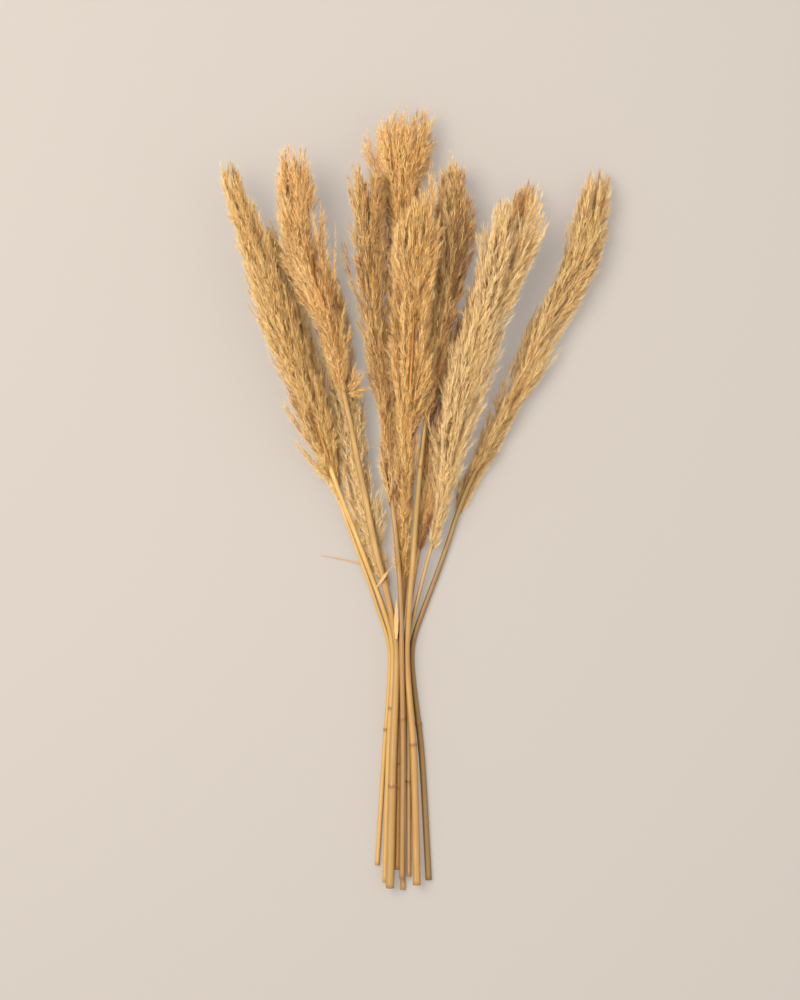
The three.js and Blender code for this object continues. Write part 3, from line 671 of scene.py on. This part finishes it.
def branch_lines(plant, rng):
    """Middle lines of a plume's branches, (n, points, 3), and how far out each one runs."""
    base, tip = foot_and_tip(plant)
    levels = np.linspace(base + ENDS_FROM_FOOT, tip - ENDS_FROM_TIP, 200)
    weight = plume_radius(plant, levels) + 2
    count = int(weight.mean() * (tip - base) * BRANCH_DENSITY)
    chance = np.cumsum(weight) / weight.sum()
    ends = np.interp(rng.random(count), chance, levels)
    in_crown = rng.random(count) < CROWN_SHARE
    ends = np.where(in_crown, tip - CROWN_FROM_TIP - CROWN_LENGTH * rng.random(count), ends)
    length = rng.uniform(*BRANCH_LENGTH, count) * np.where(in_crown, CROWN_BRANCH, 1.0)
    roots = np.maximum(ends - length, base + rng.uniform(*ROOTS_FROM_FOOT, count))
    roots = np.minimum(roots, ends - SHORTEST_BRANCH)
    out = np.sqrt(rng.uniform(INNERMOST, 1.0, count))
    turn = rng.uniform(0, 2 * np.pi, count)
    swirl = rng.normal(0, BRANCH_SWIRL, count)
    flare = rng.uniform(*BRANCH_FLARE, count)
    t = np.linspace(0, 1, BRANCH_POINTS)
    y = roots[:, None] + (ends - roots)[:, None] * t
    half_width = plume_radius(plant, y)
    overhang = TUFT_OVERHANG * (1 - 0.6 * plant["sleek"]) * np.minimum(1, half_width / 13)
    spread = 1 - (1 - t) ** BRANCH_SPREAD + flare[:, None] * t ** 3
    reach = (half_width - overhang) * out[:, None] * spread
    reach = reach + stem_radius(plant, roots)[:, None] * (1 - t) ** 3
    angle = turn[:, None] + swirl[:, None] * t
    sway = rng.uniform(0, 2 * np.pi, (2, count, 1)) + 5.0 * t
    waves = BRANCH_SWAY * np.sin(sway) * t
    point, _, side, up = axis_at(plant, y)
    lines = point + side * (np.cos(angle) * reach + waves[0])[..., None]
    lines = lines + up * ((np.sin(angle) * reach + waves[1]) * PLUME_FLATNESS)[..., None]
    return lines, out


def side_branch_lines(plant):
    """Middle lines of the longer branches that stand out of a plume."""
    lines = []
    top = foot_and_tip(plant)[1]
    t = np.linspace(0, 1, BRANCH_POINTS)[:, None]
    for x0, y0, x1, y1 in plant["side_branches"]:
        low = axis_at(plant, y0)[0]
        high = axis_at(plant, min(y1, top))[0]
        root = np.array([x0, y0, low[2]])
        way = np.array([x1, y1, high[2]]) - root
        bow = np.array([np.sign(x1 - high[0]) * SIDE_BRANCH_BOW, 0, 0])
        reach = 1 - SIDE_OVERHANG / np.linalg.norm(way)
        lines.append(root + way * reach * t + bow * arch(t))
    return np.array(lines).reshape(-1, BRANCH_POINTS, 3)


def side_tuft_lines(plant, rng):
    """Middle lines of the tufts that stand out of a plume: three to each tip, from one root."""
    lines = []
    base, top = foot_and_tip(plant)
    t = np.linspace(0, 1, TUFT_POINTS)[:, None]
    for x, y in plant["side_tufts"]:
        axis, along, _, _ = axis_at(plant, min(y, top))
        outward = 1.0 if x > axis[0] else -1.0
        stand_out = abs(x - axis[0]) * along[1] - SIDE_TUFT_ROOT * plume_radius(plant, y)
        length = max(SIDE_TUFT_LENGTH, SIDE_TUFT_SLANT * stand_out)
        root_y = max(min(y, top) - length * along[1], base)
        root, _, side, _ = axis_at(plant, root_y)
        root = root + side * outward * SIDE_TUFT_ROOT * plume_radius(plant, root_y)
        tip = np.array([x, y, axis[2] + rng.normal(0, 2)])
        tip = tip - unit(tip - root) * SIDE_TUFT_OVERHANG
        bow = side * outward * SIDE_TUFT_BOW * arch(t)
        for share in SIDE_TUFT_SHARES:
            first = root + rng.normal(0, 1.0, 3)
            last = root + (tip - root) * share + rng.normal(0, 0.7, 3)
            lines.append(first + (last - first) * t + bow)
    return np.array(lines).reshape(-1, TUFT_POINTS, 3)


def along_lines(lines, t):
    """Points and directions at shares t, (n, k), of each line."""
    rings = lines.shape[1]
    at = np.clip(t * (rings - 1), 0, rings - 1.001)
    i = at.astype(int)
    rest = (at - i)[..., None]
    row = np.arange(len(lines))[:, None]
    start, end = lines[row, i], lines[row, i + 1]
    return start * (1 - rest) + end * rest, unit(end - start)


def offshoots(lines, t, outward, lean, spin, length, curl, points):
    """Curved lines that leave the given ones at shares t, (n, k), leaning toward outward turned by
    spin. curl above 0 brings their ends back along the line they left. Gives (n * k, points, 3)."""
    start, direction = along_lines(lines, t)
    out = unit(outward - (outward * direction).sum(-1, keepdims=True) * direction)
    across = np.cross(direction, out)
    toward = out * np.cos(spin)[..., None] + across * np.sin(spin)[..., None]
    s = np.linspace(0, 1, points)
    ahead = (length * np.cos(lean))[..., None] * s
    aside = (length * np.sin(lean))[..., None] * (s - 0.5 * curl[..., None] * s ** 2)
    made = start[..., None, :] + direction[..., None, :] * ahead[..., None]
    made = made + toward[..., None, :] * aside[..., None]
    return made.reshape(-1, points, 3)


def away_from_axis(plant, points, rng, wander):
    """Unit vectors that point out of the plume at the points, with some play."""
    away = points - axis_at(plant, points[..., 1])[0]
    away = unit(away * [1, 0.3, 1 / PLUME_FLATNESS])
    return unit(away + wander * rng.normal(size=away.shape))


def about_axis(plant, points):
    """How far points lie across and above a plant's axis, and the way up from it."""
    axis, _, side, up = axis_at(plant, points[..., 1])
    off = points - axis
    return (off * side).sum(-1), (off * up).sum(-1), up


def settled(plant, lines, gap=SURFACE_GAP):
    """Strands kept above the surface, and beside the culm as far as it shows on top of them."""
    if "bare_to" in plant:
        across, height, up = about_axis(plant, lines)
        above_foot = np.clip((lines[..., 1] - plant["bare_to"]) / BARE_FADE, 0, 1)
        ceiling = np.abs(across) - CULM_CLEARANCE * plant["radius"] + BARE_RISE * above_foot
        lines = lines - up * np.maximum(height - ceiling, 0)[..., None]
    lines[..., 2] = np.maximum(lines[..., 2], gap)
    return lines


def streak(line, points, half_width):
    """1 on a line [x, y, x, y] seen from above, and fading to 0 beside it."""
    start, way = np.array(line[:2]), np.array(line[2:]) - line[:2]
    from_start = points[:, :2] - start
    share = np.clip(from_start @ way / (way @ way), 0, 1)
    return bell(np.linalg.norm(from_start - share[:, None] * way, axis=1), half_width)


def wave_sum(place, count, lengths, stretch, rng):
    """Sine waves in all directions, added up at the places. lengths are the ranges of their lengths."""
    total = np.zeros(len(place))
    for _ in range(count):
        length = np.array([factor * rng.uniform(*span) for factor, span in zip(stretch, lengths)])
        wave = 2 * np.pi / length * rng.choice([-1, 1], 3)
        total += np.sin(place @ wave + rng.uniform(0, 2 * np.pi))
    return total * np.sqrt(2 / count)


def patches(plant, points, rng):
    """Tone of the slits of brown and patches of pale along a plume, and of the painted shade on its right
    side and the painted shade and light along lines.
    """
    across, height, _ = about_axis(plant, points)
    place = np.stack([across, points[:, 1], height], -1)
    thin, long = 1 - 0.4 * plant["sleek"], 1 + 0.8 * plant["sleek"]
    broad = wave_sum(place, PATCH_WAVES, PATCH_LENGTHS, (thin, long, 1), rng)
    fine = wave_sum(place, SLIT_WAVES, SLIT_LENGTHS, (1, long, 1), rng)
    dark = np.clip((broad - 0.8) / 0.8, 0, 1) * plant["slits"]
    slit = np.clip(fine - 0.5, 0, 1) * plant["slits"]
    pale = np.clip(-broad - 0.9, 0, 1)
    # painted shade: the plume's right side, away from the key light, is painted browner by the plant's
    # right-side setting; below 0 it is painted paler, as painted light
    right = np.clip(across / plume_radius(plant, points[:, 1]), -1, 1)
    tone = PALE_PATCH * pale - DARK_PATCH * dark - SLIT_DEPTH * slit - plant["painted_right_shade"] * right
    # painted shade along each listed dark line
    for line in plant["painted_shade_streaks"]:
        tone -= PAINTED_SHADE_DEPTH * streak(line, points, PAINTED_SHADE_HALF_WIDTH)
    # painted light along each listed pale line
    for line in plant["painted_light_streaks"]:
        tone += PAINTED_LIGHT_DEPTH * streak(line, points, PAINTED_LIGHT_HALF_WIDTH)
    return tone


def spaced(n, k, first, last, rng):
    """Shares of a line for k offshoots on each of n lines, evenly from first to last with some play."""
    return first + (last - first) * (np.arange(k) + rng.random((n, k))) / k


def tuft_lines(plant, branches, out, rng):
    """Tufts along each branch, with one that goes on from its end, and the plume's side tufts."""
    n, k = len(branches), TUFTS_PER_BRANCH
    sleek = plant["sleek"]
    t = spaced(n, k, 0.12, 0.98, rng)
    t[:, -1] = 0.97
    starts = along_lines(branches, t)[0]
    outward = away_from_axis(plant, starts, rng, 0.25)
    lean = np.radians(rng.uniform(*TUFT_LEAN, (n, k))) * (0.65 + 0.35 * out[:, None]) * (1 - 0.5 * sleek)
    lean[:, -1] *= END_LEAN
    fullness = 0.6 + 0.4 * np.clip(plume_radius(plant, starts[..., 1]) / 18, 0, 1.2)
    length = TUFT_LENGTH * rng.uniform(0.7, 1.25, (n, k)) * fullness * (1 + 0.2 * sleek)
    spin = rng.normal(0, 0.8, (n, k))
    curl = rng.uniform(0.2, 0.9, (n, k))
    tufts = offshoots(branches, t, outward, lean, spin, length, curl, TUFT_POINTS)
    return np.concatenate([tufts, side_tuft_lines(plant, rng)])


def spikelet_lines(plant, tufts, rng):
    """Spikelets round each tuft, and the way that each one faces."""
    n, k = len(tufts), SPIKELETS_PER_TUFT
    sleek = plant["sleek"]
    t = spaced(n, k, 0.04, 0.99, rng)
    outward = away_from_axis(plant, along_lines(tufts, t)[0], rng, 0.2)
    lean = np.radians(np.abs(rng.normal(*SPIKELET_LEAN, (n, k)))) * (1 - 0.6 * sleek)
    lean[:, -1] *= END_LEAN
    length = SPIKELET_LENGTH * rng.uniform(0.65, 1.35, (n, k)) * (1.05 - 0.2 * t) * (1 + 0.8 * sleek)
    spin = rng.normal(0, 1.4, (n, k))
    curl = rng.normal(0.2, 0.35, (n, k))
    return offshoots(tufts, t, outward, lean, spin, length, curl, 4), outward.reshape(-1, 3)


def hair_lines(spikelets, outward, rng):
    """Silky hairs round the foot of each spikelet."""
    one = (len(spikelets), 1)
    t = rng.uniform(0.05, 0.7, one)
    lean = np.radians(rng.uniform(*HAIR_LEAN, one))
    spin = rng.uniform(-np.pi, np.pi, one)
    length = rng.uniform(*HAIR_LENGTH, one)
    curl = rng.normal(0.2, 0.5, one)
    return offshoots(spikelets, t, outward[:, None], lean, spin, length, curl, 3)


def plume(plant, seed):
    """A plume as three meshes: its upper spikelets, its lower ones with the stalk, and its hairs."""
    rng = np.random.default_rng(seed)
    upper, lower, silk = Strands(), Strands(), Strands()

    branches, out = branch_lines(plant, rng)
    side_branches = side_branch_lines(plant)
    branches = settled(plant, np.concatenate([branches, side_branches]), SURFACE_GAP + 0.6)
    out = np.concatenate([out, np.ones(len(side_branches))])
    branch_tone = rng.normal(0, 0.05, len(branches))
    base, tip = foot_and_tip(plant)
    stalk = axis_at(plant, np.linspace(base + 4, tip - 12, STALK_RINGS))[0]
    lower.add(stalk[None], np.linspace(0.72 * plant["radius"], 0.5, STALK_RINGS), np.array([0.4]), sides=8)
    thin = BRANCH_HALF_WIDTH * np.linspace(1, 0.35, BRANCH_POINTS)
    lower.add(branches, thin, np.clip(0.5 + branch_tone, 0, 1))

    tufts = settled(plant, tuft_lines(plant, branches, out, rng), SURFACE_GAP + 0.3)
    side_count = len(tufts) - len(branches) * TUFTS_PER_BRANCH
    tuft_out = np.append(np.repeat(out, TUFTS_PER_BRANCH), np.ones(side_count))
    tuft_tone = np.append(np.repeat(branch_tone, TUFTS_PER_BRANCH), np.zeros(side_count))
    tuft_tone = tuft_tone + rng.normal(0, 0.06, len(tufts))
    lower.add(tufts, TUFT_HALF_WIDTHS, np.clip(0.5 + tuft_tone, 0, 1))

    spikelets, outward = spikelet_lines(plant, tufts, rng)
    spikelets = settled(plant, spikelets)
    count = len(spikelets)
    width = SPIKELET_HALF_WIDTH * rng.uniform(0.65, 1.3, (count, 1)) * SPIKELET_TAPER
    width = width * (1 - 0.2 * plant["sleek"])
    middle = spikelets.mean(1)
    # painted shade: spikelets on branches nearer the axis are painted darker, and those on the outermost
    # ones paler
    depth = np.repeat(tuft_out, SPIKELETS_PER_TUFT) - 0.8
    tone = MIDDLE_TONE + plant["tone"] + INNER_PAINTED_SHADE * depth + patches(plant, middle, rng)
    tone += np.repeat(tuft_tone, SPIKELETS_PER_TUFT) + rng.normal(0, TONE_PLAY, count)
    tone = np.clip(tone, *TONE_LIMITS)
    above = middle[:, 2] > axis_at(plant, middle[:, 1])[0][:, 2]
    for half, one in ((upper, above), (lower, ~above)):
        half.add(spikelets[one], width[one], tone[one], outward[one], SPIKELET_FLATNESS)

    pick = rng.permutation(count * 2)[: int(count * HAIRS_PER_SPIKELET)] % count
    hairs = settled(plant, hair_lines(spikelets[pick], outward[pick], rng), SURFACE_GAP * 0.6)
    hair_tone = np.clip(tone[pick] + HAIR_TONE + 0.05 * rng.normal(size=len(pick)), *TONE_LIMITS)
    silk.add(hairs, HAIR_HALF_WIDTHS, hair_tone, outward[pick])
    parts = {"spikelets_upper": upper, "spikelets_lower": lower, "hairs": silk}
    return [strands.build(f"plume_{plant['name']}_{part}") for part, strands in parts.items()]


# -------- stems

STEM_SIDES = 18
STEM_STEP = 5.0
STEM_GAP = 0.02  # least height above the surface
RIDGES = 6
RIDGE_HEIGHT = 0.025  # over the radius
CULM_OVERLAP = 22.0  # how far the culm goes on inside the plume
CULM_END = 0.7  # share of its radius that the culm loses there
JOINT_ROOM = 6.0
JOINT_RINGS = np.array([-6, -3.5, -2, -0.8, 0, 0.5, 1.2, 2.5, 5])
JOINT_SWELL = 0.2  # of the radius at the joint itself
JOINT_SPREAD = 1.6
JOINT_MARK_SPREAD = 1.8
SHEATH_SWELL = 0.05  # of the radius below the joint
SHEATH_FADE = 40.0
HOLLOW = 0.55  # radius of the hollow over the radius at the cut end
HOLLOW_DEPTH = 14.0
HOLLOW_RINGS = ((0.8, 1.0), (0.94, 0.4), (1.0, 0.0))  # shares of its radius and depth
HOLLOW_PAINTED_SHADE = [1.0, 0.8, 0.35]
# painted shade: share of the joint brown painted into the hollow's rings, from the deepest to the cut rim,
# darker the deeper in
WARM_BELOW = 70.0  # the y below which the culms are a warmer straw
PATTERN_STEP = 37.0  # moves the pattern of fibres on from stem to stem


def sloped(y, place, length):
    """A smooth step along y, from 0 well below the place to 1 well above it."""
    return 1 / (1 + np.exp(np.clip((place - y) / length, -30, 30)))


def over_stem(hollow, values, ends):
    """Values for all points of a stem, from those of its hollow's rings, its outside's and its caps."""
    return np.append(np.repeat(np.concatenate([hollow, values]), STEM_SIDES), ends)


def stem(plant):
    """A culm from its hollow cut end to the foot of its plume, with ridges and joints."""
    top = plant.get("bare_to", foot_and_tip(plant)[0])
    start = plant["path"][0][1]
    y = np.arange(start, top + CULM_OVERLAP, STEM_STEP)
    for joint in plant["joints"]:
        y = np.append(y[np.abs(y - joint) > JOINT_ROOM], joint + JOINT_RINGS)
    y = np.sort(y)
    radius = stem_radius(plant, y) * (1 - CULM_END * np.clip((y - top) / CULM_OVERLAP, 0, 1))
    joint_mark = np.zeros(len(y))
    for joint in plant["joints"]:
        near = y - joint
        sheath = SHEATH_SWELL * (near < 0) * np.exp(near.clip(max=0) / SHEATH_FADE)
        radius += plant["radius"] * (JOINT_SWELL * bell(near, JOINT_SPREAD) + sheath)
        joint_mark = np.maximum(joint_mark, bell(near, JOINT_MARK_SPREAD))
    green = 0.75 * sloped(y, plant.get("green", NOWHERE), 9.0)
    warm = 0.7 * (1 - sloped(y, WARM_BELOW, 14.0))

    # the outside, and the hollow's rings, which go back up inside from the cut end
    point, _, side, up = axis_at(plant, y)
    turn = 2 * np.pi * (np.arange(STEM_SIDES) + 0.5) / STEM_SIDES
    ridge = 1 + RIDGE_HEIGHT * np.cos(turn * RIDGES)
    rim = point[:, None] + side[:, None] * (np.cos(turn) * ridge)[:, None] * radius[:, None, None]
    rim = rim + up[:, None] * (np.sin(turn) * ridge)[:, None] * radius[:, None, None]
    first_rim = rim[0] - point[0]
    hollow_y = start + HOLLOW_DEPTH * np.array(HOLLOW_RINGS)[:, 1]
    hollow = [
        axis_at(plant, depth)[0] + first_rim * HOLLOW * share
        for depth, (share, _) in zip(hollow_y, HOLLOW_RINGS)
    ]
    rings = np.concatenate([hollow, rim])
    level = 0.04 + 0.96 * (y - start) / (y[-1] - start)
    level = np.concatenate([np.linspace(0, 0.03, len(hollow)), level])
    grid, quads, uvs = tube(len(rings), STEM_SIDES, level)

    # the caps, at the hollow's inner end and inside the plume
    centre = np.full(STEM_SIDES, grid.size)
    caps = np.concatenate([
        np.stack([np.roll(grid[0], -1), grid[0], centre], -1),
        np.stack([grid[-1], np.roll(grid[-1], -1), centre + 1], -1),
    ])
    u = np.arange(STEM_SIDES) / STEM_SIDES
    cap_uvs = []
    for v_rim, v_centre in ((0.01, 0.0), (0.99, 1.0)):
        v = np.full(STEM_SIDES, v_rim)
        middle = [u + 0.5 / STEM_SIDES, np.full(STEM_SIDES, v_centre)]
        cap_uvs.append(np.stack([u + 1 / STEM_SIDES, v, u, v, *middle], -1).reshape(-1, 2))
    points = np.concatenate([rings.reshape(-1, 3), [rings[0].mean(0)], [rings[-1].mean(0)]])
    points[:, 2] = np.maximum(points[:, 2], STEM_GAP)

    lengths = over_stem(hollow_y, y, [hollow_y[0], y[-1]]) + PATTERN_STEP * int(plant["name"])
    around = [np.append(np.tile(wave(turn), len(rings)), [0, 0]) for wave in (np.cos, np.sin)]
    plain = [0.0, 0.0, 0.0]
    attributes = {
        "stem_place": np.stack([*around, lengths], -1),
        "green": over_stem(plain, green, [0, 0]),
        "warm": over_stem(plain, warm, [0, 0]),
        # joint mark: the real brown joints, and painted shade in the hollow's rings and on its inner cap
        "joint": over_stem(HOLLOW_PAINTED_SHADE, joint_mark, [1, 0]),
    }
    loops = np.concatenate([quads.ravel(), caps.ravel()])
    sizes = np.repeat([4, 3], [len(quads), len(caps)])
    uvs = np.concatenate([uvs, *cap_uvs])
    return mesh_object(f"stem_{plant['name']}_culm", points, loops, sizes, uvs, attributes)


# -------- dry leaf pieces

# outline is [share of the length, share of the width], and cup how far the edges curl. twist, in
# radians about the path, and age, from pale 0 to brown 1, are given at both ends.
LEAVES = [dict(
    name="leaf_sheath", width=4.8, twist=[0.5, 0.2], cup=0.9, age=[0.25, 0.3],
    outline=[[0, 0.45], [0.25, 0.9], [0.45, 1], [0.7, 0.7], [0.9, 0.25], [1, 0.05]],
    path=[[-5.4, 8, 20.8], [-5.4, 28, 21.6], [-5.6, 49, 22.8]],
), dict(
    name="leaf_blade", width=1.7, twist=[0.9, 0.1], cup=0.5, age=[0.2, 0.6],
    outline=[[0, 0.6], [0.3, 1], [0.7, 0.85], [1, 0.2]],
    path=[[-22, 70, 14.6], [-25, 75, 11.6], [-31, 80, 6.2], [-40, 83, 2.7], [-56, 87, 1.5], [-82, 92, 1.4]],
), dict(
    name="leaf_curl", width=3.4, twist=[-0.3, 0.9], cup=0.7, age=[0.0, 0.95],
    outline=[
        [0, 0.15], [0.15, 0.4], [0.28, 0.9], [0.42, 1], [0.53, 0.75], [0.6, 0.35], [0.8, 0.3], [1, 0.1],
    ],
    path=[[-26, 60, 20.5], [-21.5, 66, 24.2], [-16.5, 73, 26.2], [-10, 80.5, 28], [-3, 88, 29.4]],
)]
LEAF_THICKNESS = 0.35
LEAF_EDGE = 0.6  # share of the thickness lost at the edges
LEAF_RIPPLE = 0.10
LEAF_ROWS = 40
LEAF_COLUMNS = 9


def smooth_line(points, count):
    """Evenly shared points on a smooth curve through the given ones."""
    points = np.array(points, float)
    t = np.arange(len(points))
    at = np.linspace(0, len(points) - 1, count)
    return np.stack([value_at(np.stack([t, points[:, i]], -1), at) for i in range(3)], -1)


def leaf(data):
    """A thin cupped strip of dry leaf that narrows to both ends."""
    line = smooth_line(data["path"], LEAF_ROWS)
    along = unit(np.gradient(line, axis=0))
    side = unit(np.cross(along, UPRIGHT))
    up = np.cross(side, along)
    t = np.linspace(0, 1, LEAF_ROWS)
    roll = np.linspace(*data["twist"], LEAF_ROWS)[:, None]
    across = side * np.cos(roll) + up * np.sin(roll)
    thick = np.cross(across, along)[:, None]
    swell = (value_at(data["outline"], t) * data["width"] / 2)[:, None]
    s = np.linspace(-1, 1, LEAF_COLUMNS)
    fold = 0.5 * data["cup"] * s ** 2 * swell
    ripple = LEAF_RIPPLE * np.sin(t * 23)[:, None] * s * swell
    sheet = line[:, None] + across[:, None] * (s * swell)[..., None]
    sheet = sheet + thick * (fold + ripple)[..., None]
    half = LEAF_THICKNESS / 2 * (1 - LEAF_EDGE * s ** 2)[None, :, None]
    rings = np.concatenate([sheet + thick * half, (sheet - thick * half)[:, ::-1]], axis=1)
    around = rings.shape[1]
    grid, quads, uvs = tube(LEAF_ROWS, around, t, flip=True)

    i = np.arange(LEAF_COLUMNS - 1)
    left, right, foot, head = i / LEAF_COLUMNS, (i + 1) / LEAF_COLUMNS, 0 * i, 0 * i + 0.01
    squares = np.stack([left, foot, right, foot, right, head, left, head], -1).reshape(-1, 4, 2)
    faces, face_uvs = [quads], [uvs]
    for row, order in ((grid[0], [0, 1, 2, 3]), (grid[-1], [3, 2, 1, 0])):
        corners = np.stack([row[i], row[i + 1], row[around - 2 - i], row[around - 1 - i]], -1)
        faces.append(corners[:, order])
        face_uvs.append(squares[:, order].reshape(-1, 2))
    loops = np.concatenate(faces).ravel()
    sizes = np.full(len(loops) // 4, 4)

    lengths = np.concatenate([[0], np.cumsum(np.linalg.norm(np.diff(line, axis=0), axis=1))])
    width_place = np.concatenate([s, s[::-1]])
    place = np.stack([
        np.tile(width_place, LEAF_ROWS), np.repeat(lengths * 0.1, around), np.zeros(grid.size),
    ], -1)
    age = np.repeat(np.linspace(*data["age"], LEAF_ROWS), around)
    attributes = {"leaf_place": place, "age": age}
    return mesh_object(f"{data['name']}_strip", rings.reshape(-1, 3), loops, sizes,
                       np.concatenate(face_uvs), attributes)


# -------- the bundle

dry_leaf = leaf_material()

for index, plant in enumerate(PLANTS):
    fluff = plume_material(f"plume_{plant['name']}", plant["colour"])
    for piece in plume(plant, 100 + index):
        piece.data.materials.append(fluff)
        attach(piece, "root")
        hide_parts(f"plume_{plant['name']}")
    culm = stem(plant)
    culm.data.materials.append(stem_material(f"stem_{plant['name']}", plant["culm"]))
    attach(culm, "root")
    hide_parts(f"stem_{plant['name']}")

for data in LEAVES:
    strip = leaf(data)
    strip.data.materials.append(dry_leaf)
    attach(strip, "root")
    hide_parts(data["name"])

# -------- floor, light and camera, in metres

FLOOR_SIZE = 6.0  # from the middle to each side
CAMERA_PLACE = (-0.0136, -0.0037, 3.0)
PLUME_LEVEL = 0.035
FRAME_HEIGHT = 1.0  # what the frame takes in at the plumes' level
SENSOR = 36.0


def floor():
    """A plain floor with a slight glow, which keeps the shadows on it pale."""
    mesh = bpy.data.meshes.new("floor")
    corners = [(x * FLOOR_SIZE, y * FLOOR_SIZE, 0) for x, y in ((-1, -1), (1, -1), (1, 1), (-1, 1))]
    mesh.from_pydata(corners, [], [(0, 1, 2, 3)])
    mesh.materials.append(Nodes("floor").surface({
        "Base Color": srgb((131, 123, 115)), "Roughness": 0.9,
        "Emission Color": (1.0, 0.915, 0.83, 1.0), "Emission Strength": 0.27,
    }))
    obj = add_object("floor", mesh)


def area_light(name, place, target, size, power, colour):
    light = bpy.data.lights.new(name, "AREA")
    light.shape = "DISK"
    light.size = size
    light.energy = power
    light.color = colour
    obj = add_object(name, light)
    obj.location = place
    way = Vector(target) - Vector(place)
    obj.rotation_euler = way.to_track_quat("-Z", "Y").to_euler()


def sky(colour, strength):
    world = bpy.context.scene.world or bpy.data.worlds.new("world")
    bpy.context.scene.world = world
    world.use_nodes = True
    background = world.node_tree.nodes["Background"]
    background.inputs["Color"].default_value = colour
    background.inputs["Strength"].default_value = strength


def camera():
    """Looks straight down from far above: 1 mm of the bundle to a pixel of an 800 x 1000 frame."""
    data = bpy.data.cameras.new("camera")
    data.sensor_width = SENSOR
    data.lens = SENSOR * (CAMERA_PLACE[2] - PLUME_LEVEL) / FRAME_HEIGHT
    obj = add_object("camera", data)
    obj.location = CAMERA_PLACE
    bpy.context.scene.camera = obj


floor()
area_light("key", place=(-1.15, 0.65, 2.4), target=(0, 0.05, 0), size=2.1, power=98,
           colour=(1.0, 0.985, 0.96))
area_light("fill", place=(1.7, -0.5, 2.0), target=(0, 0, 0), size=2.4, power=9,
           colour=(1.0, 0.99, 0.97))
camera()
sky(colour=(1.0, 0.99, 0.975, 1.0), strength=0.84)
bpy.context.scene.view_settings.view_transform = "Standard"
